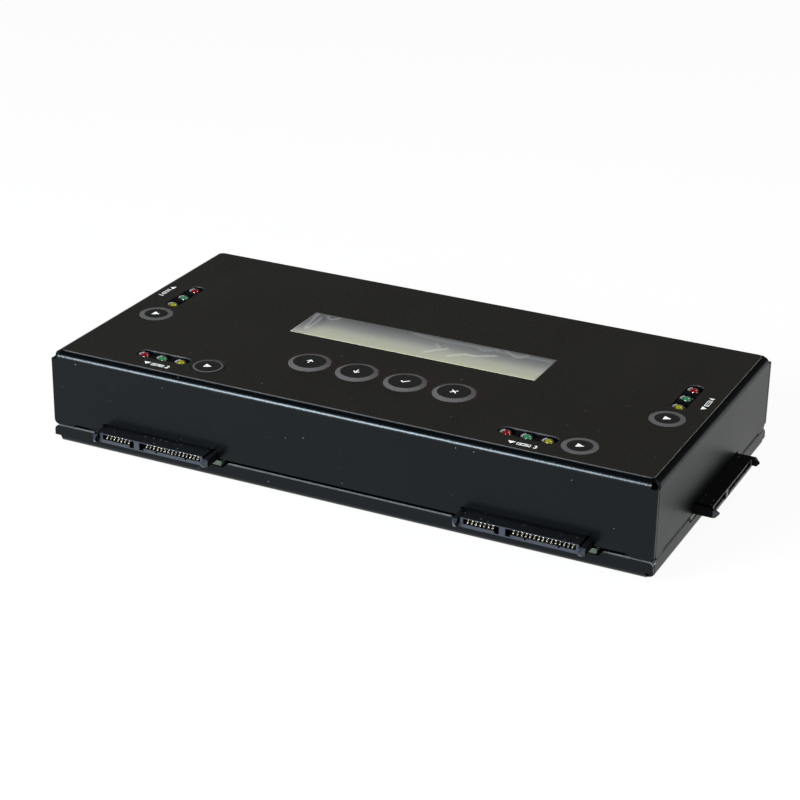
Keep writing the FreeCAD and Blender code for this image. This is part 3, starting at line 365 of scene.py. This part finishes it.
def display_field():
    """Unlit display: grey green, with the fields of its two rows of characters."""
    f = finish("display_field")
    between = f.node(
        "ShaderNodeTexBrick", {"offset": 0},
        {
            "Vector": f.place(), "Scale": 1, "Mortar Size": 0.35 * MM,
            "Brick Width": 3.7 * MM, "Row Height": 6 * MM,
        }, "Fac",
    )
    f.surface(
        Base_Color=f.blend(between, (0.42, 0.46, 0.27), (0.47, 0.51, 0.32)),
        Roughness=0.35 + 0.1 * f.noise(2 * MM),
    )


def peel_film_painted_sheen():
    """Opaque film on the window: a painted grey sheen at its rear and left end, the display's yellow green
    in front.
    """
    f = finish("peel_film_painted_sheen")
    low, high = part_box("peel_film")
    ahead = (high.y - f.along(Y)) / (high.y - low.y)
    sway = 0.16 * (f.noise(26 * MM) - 0.5)
    left_end = 1 - f.step(f.along(X), low.x + 1 * MM, low.x + 9 * MM)
    # Painted sheen: grey toward the rear and the left end; toward the front the display's colour is painted
    # on
    tone = f.ramp(ahead + sway - 0.36 * left_end, [
        (0.05, (0.102, 0.101, 0.100)), (0.35, (0.194, 0.191, 0.186)),
        (0.62, (0.336, 0.333, 0.280)), (0.95, (0.396, 0.396, 0.293)),
    ])
    crease = f.node("ShaderNodeAttribute", {"attribute_name": "crease"}, output="Fac")
    # Painted highlight: the ridges of the creases are paler
    pale = crease * (0.30 - 0.16 * f.noise(2 * MM))
    f.surface(
        Base_Color=f.blend(pale, tone, (0.60, 0.60, 0.61)),
        Roughness=0.24 + 0.10 * f.noise(5 * MM),
        Specular_IOR_Level=0.35,
    )


def plain(name, dark, light, patch, roughness, metallic=0, grain=0):
    """Finish with two tones in patches of the given size, and grain of the given depth."""
    f = finish(name)
    tone = f.noise(patch, detail=3)
    grains_per_patch = 9
    fine = f.noise(patch / grains_per_patch)
    f.surface(
        Base_Color=f.blend(tone, dark, light),
        Roughness=roughness + 0.12 * (fine - 0.5),
        Metallic=metallic,
        Normal=f.bump(fine, depth=grain, strength=0.6),
    )


powder_coat()
panel_film()
film_edge_highlight()
port_plastic()
solder_mask()
clear_window()
display_field()
peel_film_painted_sheen()
tinted_lens("red", shaded_foot=(0.040, 0.001, 0.002), bright=(0.125, 0.002, 0.004))
tinted_lens("green", shaded_foot=(0.006, 0.040, 0.016), bright=(0.022, 0.120, 0.052))
tinted_lens("yellow", shaded_foot=(0.060, 0.055, 0.002), bright=(0.170, 0.165, 0.005))
# Pale finish of the tray's upper edge: a painted highlight of the light that the edge catches
plain("tray_rim_highlight", (0.08, 0.085, 0.09), (0.24, 0.25, 0.26), patch=1.2 * MM, roughness=0.4)
plain("print_white", (0.84, 0.84, 0.83), (0.92, 0.92, 0.91), patch=0.6 * MM, roughness=0.6, grain=0.002 * MM)
plain("print_red_brown", (0.017, 0.0035, 0.0045), (0.026, 0.0055, 0.0065), patch=0.6 * MM, roughness=0.5)
plain("board_edge", (0.105, 0.150, 0.108), (0.190, 0.245, 0.184), patch=0.5 * MM, roughness=0.6)
# Pale grey of the lamp collars: a painted highlight for the glint beside each lamp
plain("collar_glint_grey", (0.20, 0.20, 0.205), (0.37, 0.37, 0.375), patch=0.7 * MM, roughness=0.5)
# Bluish grey of the receptacles' outward faces: painted light, a lit copy of their black plastic
plain(
    "port_lit_face", (0.015, 0.019, 0.028), (0.022, 0.027, 0.039),
    patch=0.9 * MM, roughness=0.36, grain=0.01 * MM,
)
plain("switch_black", grey(0.010), grey(0.015), patch=1.2 * MM, roughness=0.42, grain=0.01 * MM)
plain("contact_gold", (0.86, 0.77, 0.56), (0.93, 0.86, 0.70), patch=0.3 * MM, roughness=0.22, metallic=1)
plain("zinc", (0.52, 0.53, 0.55), (0.66, 0.67, 0.69), patch=0.5 * MM, roughness=0.32, metallic=1)
plain("rubber", grey(0.012), grey(0.02), patch=0.8 * MM, roughness=0.8, grain=0.02 * MM)
plain("nylon_white", (0.70, 0.70, 0.68), (0.80, 0.80, 0.78), patch=0.8 * MM, roughness=0.45)
plain("frame_black", grey(0.010), grey(0.016), patch=1 * MM, roughness=0.5)
plain("guide_milky", (0.70, 0.72, 0.60), (0.78, 0.80, 0.68), patch=3 * MM, roughness=0.6)
plain("ferrite_grey", grey(0.05), grey(0.08), patch=0.4 * MM, roughness=0.7, grain=0.02 * MM)
plain("can_bare", (0.60, 0.60, 0.62), (0.72, 0.72, 0.74), patch=0.5 * MM, roughness=0.3, metallic=1)
plain("lead_red", (0.22, 0.010, 0.010), (0.30, 0.020, 0.018), patch=1 * MM, roughness=0.5)

# Which node has which finish

FINISHES = {
    "satin_black_coat": ["top_cover"],
    "window_clear": ["display_window"],
    "peel_film_painted_sheen": ["peel_film"],
    "display_field": ["display_glass"],
    "frame_black": ["display_bezel"],
    "guide_milky": ["display_backlight"],
    "nylon_white": ["display_rivets"],
    "lamp_red": ["red_lamps"],
    "lamp_green": ["green_lamps"],
    "lamp_yellow": ["yellow_lamps"],
    "collar_glint_grey": ["lamp_collars"],
    "zinc": [
        "case_screws", "board_spacers", "board_columns", "cover_standoffs", "switch_blades", "inlet_pin",
    ],
    "switch_black": [
        "key_switches", "inlet_jack", "switch_frame", "power_rocker", "controller_chips", "buzzer",
        "link_socket", "link_header",
        *(f"{name}_plunger" for name in MENU_KEYS), *(f"start_plunger_{n}" for n in NUMBERS),
    ],
    "contact_gold": ["display_pins", "link_pins", *(f"port_{n}_contacts" for n in NUMBERS)],
    "rubber": ["rubber_feet"],
    "ferrite_grey": ["power_coils"],
    "can_bare": ["filter_capacitors"],
    "lead_red": ["switch_leads"],
}
TRAY_RIM_LEVEL = top_of("bottom_tray") - 1 * MM
PORT_FACING = {1: Vector((-1, 0, 0)), 2: Vector((0, -1, 0)), 3: Vector((0, -1, 0)), 4: Vector((1, 0, 0))}
FACING_SHARE = 0.3  # a face this far turned to a direction counts as facing it, as a chamfer does

# Inner and outer radius of the ring on each key
MENU_RING = (5.05 * MM, 6.6 * MM)
START_RING = (3.75 * MM, 5.4 * MM)
NARROW_RING = (4.05 * MM, 4.6 * MM)
KEY_RINGS = {
    **{f"{name}_key": MENU_RING for name in MENU_KEYS},
    **{f"start_key_{n}": START_RING for n in NUMBERS},
    "start_key_2": NARROW_RING,
}


def dress(node, finish_name, second=None, takes_second=None):
    """Give a node its finish, and the faces that the test picks a second one."""
    mesh = NODES[node].data
    mesh.materials.clear()
    mesh.materials.append(MATERIALS[finish_name])
    if second:
        mesh.materials.append(MATERIALS[second])
        for face in mesh.polygons:
            face.material_index = int(takes_second(face))


def cut_edge(face):
    """Whether a face of a flat sheet is part of its edge."""
    return abs(face.normal.z) < FACING_SHARE


def tray_rim(face):
    """Whether a face of the tray is part of its upper edge, which takes a painted highlight."""
    return face.normal.z > FACING_SHARE and face.center.z > TRAY_RIM_LEVEL


for name, nodes in FINISHES.items():
    for node in nodes:
        dress(node, name)
for node in ("main_board", "panel_board", "display_board"):
    dress(node, "board_green", "board_edge", cut_edge)
# The cut edges of the panel's film take the painted edge highlight
dress("panel_overlay", "warm_black_film", "film_edge_highlight", cut_edge)
# The tray's upper edge takes the painted highlight
dress("bottom_tray", "satin_black_coat", "tray_rim_highlight", tray_rim)
# Faces of each receptacle that look out of the case take the painted light
for n, out in PORT_FACING.items():
    dress(f"port_{n}_housing", "port_black", "port_lit_face", lambda face: face.normal.dot(out) > FACING_SHARE)
for key, radii in KEY_RINGS.items():
    key_print(key, *radii)
    dress(key, f"{key}_print")


# Pieces that the scene adds

def piece(name, form, finish_name, body):
    """Put a mesh into the scene as a piece that rides on a body."""
    mesh = bpy.data.meshes.new(name)
    bmesh.ops.recalc_face_normals(form, faces=form.faces)
    form.to_mesh(mesh)
    form.free()
    mesh.materials.append(MATERIALS[finish_name])
    made = bpy.data.objects.new(name, mesh)
    bpy.context.collection.objects.link(made)
    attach(made, body)
    return made


# Printed marks

INK = 0.03 * MM
INK_STEP = 0.1  # each further line of a mark is thinner by this share, so crossing lines share no face


def arc(x, y, radius, start, end, steps=10):
    """Points of an arc about x, y, from the start to the end angle in degrees."""
    turns = [math.radians(start + (end - start) * k / steps) for k in range(steps + 1)]
    return [(x + radius * math.cos(a), y + radius * math.sin(a)) for a in turns]


def band(points, width):
    """Outline of a line of that width through the points, mitred at its corners."""
    points = [Vector(point) for point in points]
    runs = [(b - a).normalized() for a, b in zip(points, points[1:])]
    left, right = [], []
    for point, before, after in zip(points, runs[:1] + runs, runs + runs[-1:]):
        square = Vector((-before.y - after.y, before.x + after.x)).normalized()
        reach = width / 2 / (before.x * square.y - before.y * square.x)
        left.append(point + reach * square)
        right.append(point - reach * square)
    return left + right[::-1]


def raised(form, outline, spot, rise):
    """Low prism over a flat outline in millimetres; spot lays the outline's plane on the piece."""
    low = [form.verts.new(spot @ Vector((x * MM, y * MM, 0))) for x, y in outline]
    high = [form.verts.new(spot @ Vector((x * MM, y * MM, rise))) for x, y in outline]
    form.faces.new(high)
    form.faces.new(low[::-1])
    for k in range(len(low)):
        form.faces.new((low[k - 1], low[k], high[k], high[k - 1]))


def printed(form, spot, lines, width, fills=()):
    """Ink of a printed mark: lines of one width in millimetres, and filled outlines."""
    for k, line in enumerate(lines):
        raised(form, band(line, width), spot, INK * (1 - INK_STEP * k))
    for outline in fills:
        raised(form, outline, spot, INK)


def flat_spot(x, y, level, turn=0):
    """Place of a mark that lies flat, turned about Z by an angle in degrees."""
    return Matrix.Translation((x, y, level)) @ Matrix.Rotation(math.radians(turn), 4, "Z")


MENU_MARKS = {
    "up": [[(-0.95, 0.15), (0, 1.1), (0.95, 0.15)], [(0, -1.2), (0, 0.8)]],
    "down": [[(-0.95, -0.15), (0, -1.1), (0.95, -0.15)], [(0, 1.2), (0, -0.8)]],
    "confirm": [[(-1.2, 0.05), (-0.4, -0.75), (1.25, 0.9)]],
    "cancel": [[(-0.95, -0.95), (0.95, 0.95)], [(-0.95, 0.95), (0.95, -0.95)]],
}
START_MARK = [(-1.0, -1.15), (1.25, 0), (-1.0, 1.15)]
POINTER = [(-5.0, 0.75), (-3.85, -0.75), (-2.7, 0.75)]
PLUG_SIGN = [
    [(0, -0.6), (2.0, -0.6), (2.0, 0.55), (-2.0, 0.55), (-2.0, -0.6), (0, -0.6)],
    [(-1.5, 0), (-0.5, 0)],
    [(0, 0), (1.5, 0)],
]
NUMERALS = {
    1: [[(0.08, 1.15), (0.42, 1.5), (0.42, 0)]],
    2: [arc(0.43, 1.07, 0.4, 165, -25) + [(0.05, 0), (0.9, 0)]],
    3: [arc(0.42, 1.12, 0.36, 150, -80), arc(0.42, 0.40, 0.40, 80, -150)],
    4: [[(0.68, 1.5), (0.02, 0.45), (0.95, 0.45)], [(0.68, 0), (0.68, 1.5)]],
}
NUMERAL_PLACE = Vector((3.0, -0.75, 0)) * MM

# Place of each receptacle's mark from the middle of the case, in millimetres, and its turn in degrees
PORT_MARKS = {1: (-93.1, 8.2, -90), 2: (-63.4, -45.0, 0), 3: (56.2, -45.3, 0), 4: (92.7, 5.8, 90)}

# Ring round each menu key: radius and width in millimetres, and the ink's height
OUTLINE_RADIUS = 6.99
OUTLINE_WIDTH = 0.34
OUTLINE_INK = 0.01 * MM

ROCKER_STROKE = [(0, -1.1), (0, 1.1)]
ROCKER_RING = arc(0, 0, 0.95, 0, 360, steps=24)


def key_mark(key, lines=(), fills=()):
    """White mark in the middle of a key."""
    middle = middle_of(key)
    form = bmesh.new()
    printed(form, flat_spot(middle.x, middle.y, top_of(key)), lines, width=0.38, fills=fills)
    piece(f"{key}_mark", form, "print_white", key)


def port_mark(n, x, y, turn):
    """Mark of a receptacle: a pointer, a plug sign and the receptacle's number."""
    case = middle_of("top_cover")
    spot = flat_spot(case.x + x * MM, case.y + y * MM, top_of("panel_overlay"), turn)
    form = bmesh.new()
    printed(form, spot, PLUG_SIGN, width=0.2, fills=[POINTER])
    printed(form, spot @ Matrix.Translation(NUMERAL_PLACE), NUMERALS[n], width=0.3)
    piece(f"port_{n}_mark", form, "print_white", "chassis")


def key_outlines():
    """Thin dark ring printed on the panel round each menu key."""
    ring = band(arc(0, 0, OUTLINE_RADIUS, 0, 360, steps=72), OUTLINE_WIDTH)
    form = bmesh.new()
    for name in MENU_KEYS:
        middle = middle_of(f"{name}_key")
        raised(form, ring, flat_spot(middle.x, middle.y, top_of("panel_overlay")), OUTLINE_INK)
    piece("key_outlines", form, "print_red_brown", "chassis")


def face_spot(faces):
    """Place of a mark on the middle of some faces, upright and looking out of them."""
    area = sum(face.area for face in faces)
    middle = sum((face.center * face.area for face in faces), Vector()) / area
    out = sum((face.normal * face.area for face in faces), Vector()).normalized()
    across = UP.cross(out).normalized()
    spot = Matrix((across, UP, out)).transposed().to_4x4()
    spot.translation = middle
    return spot


def rocker_mark(name, side, line):
    """White mark on one half of the rear rocker: side is 1 or -1 along X."""
    rear_share, least_area = 0.9, 5 * MM ** 2
    crease = middle_of("power_rocker").x
    half = [
        face for face in NODES["power_rocker"].data.polygons
        if face.normal.y > rear_share and face.area > least_area and (face.center.x - crease) * side > 0
    ]
    form = bmesh.new()
    printed(form, face_spot(half), [line], width=0.34)
    piece(name, form, "print_white", "power_rocker")


for name, lines in MENU_MARKS.items():
    key_mark(f"{name}_key", lines)
for n in NUMBERS:
    key_mark(f"start_key_{n}", fills=[START_MARK])
    port_mark(n, *PORT_MARKS[n])
key_outlines()
rocker_mark("rocker_on_mark", 1, ROCKER_STROKE)
rocker_mark("rocker_off_mark", -1, ROCKER_RING)


# Protective film on the window

# Creases: height and half width in millimetres, and a path from the film's rear left corner, as shares
# of its length and its depth.
CREASES = [
    (0.20, 0.55, [(0.016, 0.05), (0.026, 0.40), (0.037, 0.78), (0.050, 0.62), (0.045, 0.20)]),
    (0.15, 0.50, [(0.055, 0.02), (0.080, 0.22), (0.112, 0.03)]),
    (0.20, 0.45, [(0.535, 0.74), (0.566, 0.55), (0.600, 0.42)]),
    (0.12, 0.50, [(0.545, 0.30), (0.575, 0.46)]),
    (0.20, 0.50, [(0.630, 0.70), (0.679, 0.47), (0.715, 0.52), (0.765, 0.36), (0.790, 0.33)]),
    (0.15, 0.50, [(0.690, 0.10), (0.730, 0.22), (0.770, 0.06)]),
    (0.18, 0.55, [(0.800, 0.03), (0.867, 0.24), (0.892, 0.04)]),
    (0.10, 0.80, [(0.430, 0.06), (0.560, 0.14), (0.690, 0.09), (0.900, 0.12), (0.985, 0.10)]),
]
FILM_CELL = 0.4 * MM
FLAT_CELLS = 2  # the creases fade over this many cells along the film's edge


def rounded(path, times=2):
    """Path with its corners cut, which is repeated until they look round."""
    for _ in range(times):
        cut = [path[0]]
        for a, b in zip(path, path[1:]):
            cut += [a.lerp(b, 0.25), a.lerp(b, 0.75)]
        path = cut + path[-1:]
    return path


def distance(point, start, end):
    """Distance of a point from a straight run between two others."""
    foot, share = intersect_point_line(point, start, end)
    if share < 0:
        foot = start
    elif share > 1:
        foot = end
    return (point - foot).length


def crease_height(point, creases):
    """Height of the creases at a point of the film."""
    highest = 0
    for height, width, path in creases:
        away = min(distance(point, a, b) for a, b in zip(path, path[1:]))
        highest = max(highest, height * math.exp(-(away / width) ** 2))
    return highest


def laid_creases(low, high):
    """Creases with their sizes in metres and their paths on the film."""
    size = high - low
    laid = []
    for height, width, path in CREASES:
        points = [Vector((low.x + u * size.x, high.y - v * size.y, 0)) for u, v in path]
        laid.append((height * MM, width * MM, rounded(points)))
    return laid


def creased_top(form, low, high):
    """Upper side of the film as rows of vertices, each with its share of the highest crease."""
    size = high - low
    columns, rows = round(size.x / FILM_CELL), round(size.y / FILM_CELL)
    creases = laid_creases(low, high)
    highest = max(height for height, width, path in creases)
    crease = form.verts.layers.float.new("crease")
    grid = []
    for j in range(rows + 1):
        grid.append([])
        for i in range(columns + 1):
            point = Vector((low.x + size.x * i / columns, low.y + size.y * j / rows, 0))
            edge = min(i, j, columns - i, rows - j)
            height = crease_height(point, creases) * min(1, edge / FLAT_CELLS)
            vertex = form.verts.new((point.x, point.y, high.z + height))
            vertex[crease] = height / highest
            grid[j].append(vertex)
    for near, far in zip(grid, grid[1:]):
        for i in range(columns):
            form.faces.new((near[i], near[i + 1], far[i + 1], far[i])).smooth = True
    return grid


def wrinkled_film():
    """Film on the display window, with the creases it got when it was laid on."""
    low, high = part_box("peel_film")
    form = bmesh.new()
    grid = creased_top(form, low, high)
    right_side = [row[-1] for row in grid[1:-1]]
    left_side = [row[0] for row in grid[1:-1]]
    rim = grid[0] + right_side + grid[-1][::-1] + left_side[::-1]
    foot = [form.verts.new((vertex.co.x, vertex.co.y, low.z)) for vertex in rim]
    for k in range(len(rim)):
        form.faces.new((rim[k - 1], foot[k - 1], foot[k], rim[k]))
    form.faces.new(foot)
    film = piece("display_peel_film", form, "peel_film_painted_sheen", "chassis")
    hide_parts("peel_film")


wrinkled_film()


# View and light

def camera():
    """Viewpoint of the photograph: a long lens, a little over the front right corner."""
    eye = Vector((265.0, -555.8, 292.0)) * MM
    look = Vector((-0.39699, 0.82253, -0.40723)).normalized()
    roll = math.radians(0.9)
    level = look.cross(UP).normalized()
    right = math.cos(roll) * level + math.sin(roll) * level.cross(look)
    view = bpy.data.cameras.new("view")
    view.lens = 98.57
    view.clip_start = 10 * MM
    spot = bpy.data.objects.new("view", view)
    spot.matrix_world = Matrix((right, right.cross(look), -look)).transposed().to_4x4()
    spot.location = eye
    bpy.context.collection.objects.link(spot)
    bpy.context.scene.camera = spot


def softbox(name, place, width, height, power, tint):
    """Rectangular lamp that faces the case."""
    lamp = bpy.data.lights.new(name, "AREA")
    lamp.shape = "RECTANGLE"
    lamp.size = width
    lamp.size_y = height
    lamp.energy = power
    lamp.color = tint
    spot = bpy.data.objects.new(name, lamp)
    spot.location = place
    target = Vector((0, 0, 20 * MM))
    spot.rotation_euler = (target - spot.location).to_track_quat("-Z", "Y").to_euler()
    bpy.context.collection.objects.link(spot)


def backdrop():
    """Surroundings: pale near the floor, dark above."""
    world = bpy.data.worlds.new("studio")
    bpy.context.scene.world = world
    world.use_nodes = True
    f = Finish(world.node_tree)
    upward = f.part(f.node("ShaderNodeTexCoord", output="Generated"), Z)
    pale_up_to, dark_from = 0.03, 0.20
    tone = f.blend(f.step(upward, pale_up_to, dark_from), grey(0.95), grey(0.04))
    f.close(f.node("ShaderNodeBackground", sockets={"Color": tone, "Strength": 1}), "World")


def pale_floor():
    """White floor that shines by itself where it is looked at, so that shadows on it are faint."""
    f = finish("pale_floor")
    lit = f.node("ShaderNodeBsdfDiffuse", sockets={"Color": (*grey(0.92), 1)})
    white = f.node("ShaderNodeEmission", sockets={"Color": (*grey(1), 1), "Strength": 1})
    shine = 0.94 * f.seen_by("Camera", "Glossy", "Transmission")
    f.close(f.node("ShaderNodeMixShader", sockets={0: shine, 1: lit, 2: white}))


def floor():
    """Wide floor just under the feet."""
    reach, drop = 3, 0.1 * MM
    form = bmesh.new()
    bmesh.ops.create_grid(form, x_segments=1, y_segments=1, size=reach)
    mesh = bpy.data.meshes.new("floor")
    form.to_mesh(mesh)
    form.free()
    mesh.materials.append(MATERIALS["pale_floor"])
    made = bpy.data.objects.new("floor", mesh)
    made.location.z = -drop
    bpy.context.collection.objects.link(made)


camera()
softbox("front_lamp", (-0.39, -0.82, 0.43), width=0.46, height=0.27, power=24, tint=(0.88, 0.95, 1))
softbox("right_lamp", (0.82, -0.10, 0.37), width=0.30, height=0.30, power=2.2, tint=(1, 0.96, 0.88))
softbox("back_right_lamp", (0.45, 0.30, 0.84), width=0.38, height=0.34, power=2.6, tint=(1, 0.98, 0.94))
backdrop()
pale_floor()
floor()
bpy.context.scene.view_settings.view_transform = "Standard"
